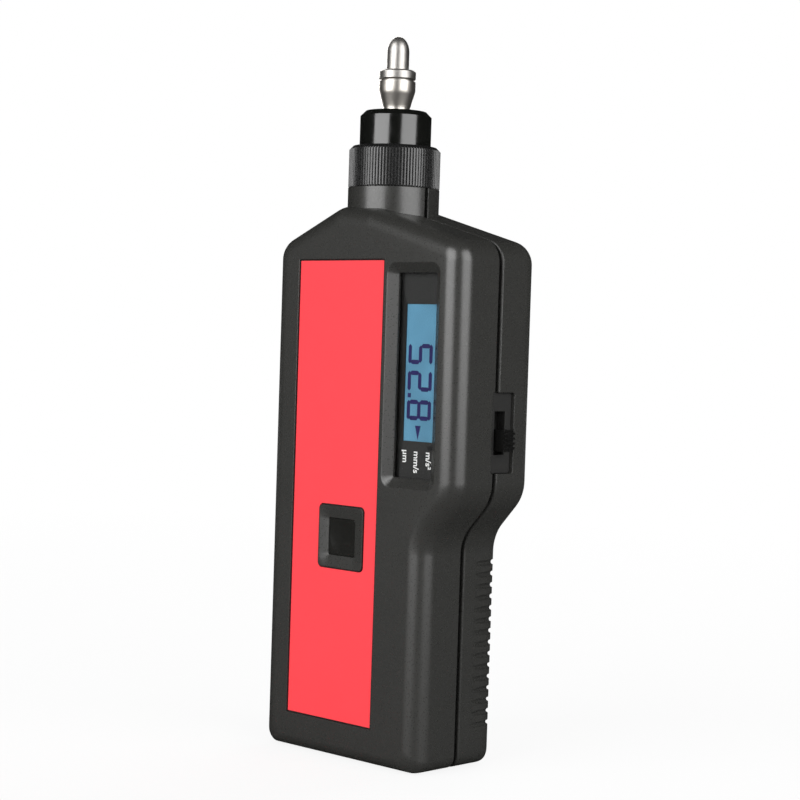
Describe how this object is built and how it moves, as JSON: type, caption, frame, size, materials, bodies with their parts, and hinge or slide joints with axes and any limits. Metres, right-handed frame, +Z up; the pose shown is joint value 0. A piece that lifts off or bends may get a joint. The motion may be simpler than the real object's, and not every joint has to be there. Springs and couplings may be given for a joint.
{
  "type": "handheld vibration meter",
  "caption": "Handheld vibration meter: two-shell case with side display, measure key and slide switch, and a screw-in probe tip on a sensor held by a knurled ring.",
  "frame": {"origin": "on the sensor's axis, in the plane between the two shells, at the base that the meter stands on", "axes": "+Z up to the probe tip, -Y out of the display side, +X to the side that carries the display and the slide switch"},
  "size_m": [0.0688, 0.0296, 0.1854],
  "materials": {
    "case_plastic": "satin moulded, fine spark texture",
    "label_film": "satin printed film",
    "window_pane": "clear polished",
    "mask_print": "matt dark print",
    "lcd_cell": "polished, lit from behind",
    "backlight": "diffuse",
    "elastomer": "matt",
    "white_plastic": "matt",
    "circuit_board": "solder mask",
    "key_plastic": "gloss moulded",
    "black_plastic": "matt moulded",
    "plunger_plastic": "matt",
    "tin_plate": "bright",
    "battery_jacket": "satin printed sleeve",
    "snap_vinyl": "soft matt",
    "wire_jacket": "satin",
    "foam": "open cell, matt",
    "anodised_black": "gloss black anodised",
    "anodised_satin": "satin black anodised",
    "stainless": "turned, satin",
    "ceramic": "fired, silvered",
    "tungsten": "turned",
    "seal_rubber": "matt",
    "black_steel": "blackened",
    "chip_resin": "matt",
    "capacitor_sleeve": "satin sleeve",
    "trimmer_plastic": "moulded"
  },
  "bodies": {
    "case": {"front_case": "case_plastic", "rear_case": "case_plastic", "front_label": "label_film", "display_window": "window_pane", "display_mask": "mask_print", "lcd_glass": "lcd_cell", "lcd_backlight": "backlight", "lcd_frame": "white_plastic", "lcd_contact_strips": "elastomer", "main_board": "circuit_board", "tact_switch": "black_plastic", "switch_plate": "case_plastic", "function_switch": "tin_plate", "battery": "battery_jacket", "battery_snap": "snap_vinyl", "battery_leads": "wire_jacket", "battery_pad": "foam", "sensor_housing": "anodised_black", "sensor_stem": "stainless", "piezo_discs": "ceramic", "seismic_mass": "tungsten", "preload_bolt": "stainless", "sensor_end_cap": "black_plastic", "sensor_lead": "snap_vinyl", "case_screws": "black_steel", "board_screws": "tin_plate", "converter_chip": "chip_resin", "amplifier_chip": "chip_resin", "capacitors": "capacitor_sleeve", "trimmer": "trimmer_plastic"},
    "measure_key": {"measure_key": "key_plastic", "tact_plunger": "plunger_plastic"},
    "function_knob": {"function_knob": "black_plastic"},
    "battery_door": {"battery_door": "case_plastic"},
    "clamp_o_ring": {"clamp_o_ring": "seal_rubber"},
    "retaining_ring": {"retaining_ring": "anodised_satin"},
    "tip_washer": {"tip_washer": "stainless"},
    "probe_tip": {"probe_tip": "stainless"}
  },
  "joints": [
    {"name": "key_press", "type": "slide", "parent": "case", "child": "measure_key", "axis": [0, 1, 0], "range_m": [0, 0.0005], "stiffness_N_per_m": 2000},
    {"name": "knob_slide", "type": "slide", "parent": "case", "child": "function_knob", "axis": [0, 0, 1], "range_m": [0, 0.0044]},
    {"name": "door_slide", "type": "slide", "parent": "case", "child": "battery_door", "axis": [0, 0, -1], "range_m": [0, 0.058]},
    {"name": "ring_lift", "type": "slide", "parent": "case", "child": "clamp_o_ring", "axis": [0, 0, 1], "range_m": [0, 0.005]},
    {"name": "ring_turn", "type": "hinge", "parent": "clamp_o_ring", "child": "retaining_ring", "pos_m": [0, 0, 0.15], "axis": [0, 0, 1], "range_deg": [0, 1802]},
    {"name": "tip_lift", "type": "slide", "parent": "case", "child": "tip_washer", "axis": [0, 0, 1], "range_m": [0, 0.00525]},
    {"name": "tip_turn", "type": "hinge", "parent": "tip_washer", "child": "probe_tip", "pos_m": [0, 0, 0.17], "axis": [0, 0, 1], "range_deg": [0, 2703]}
  ],
  "couplings": [
    {"joint": "ring_turn", "follows": "ring_lift", "rad_per_m": 6283.2},
    {"joint": "tip_turn", "follows": "tip_lift", "rad_per_m": 8976}
  ]
}
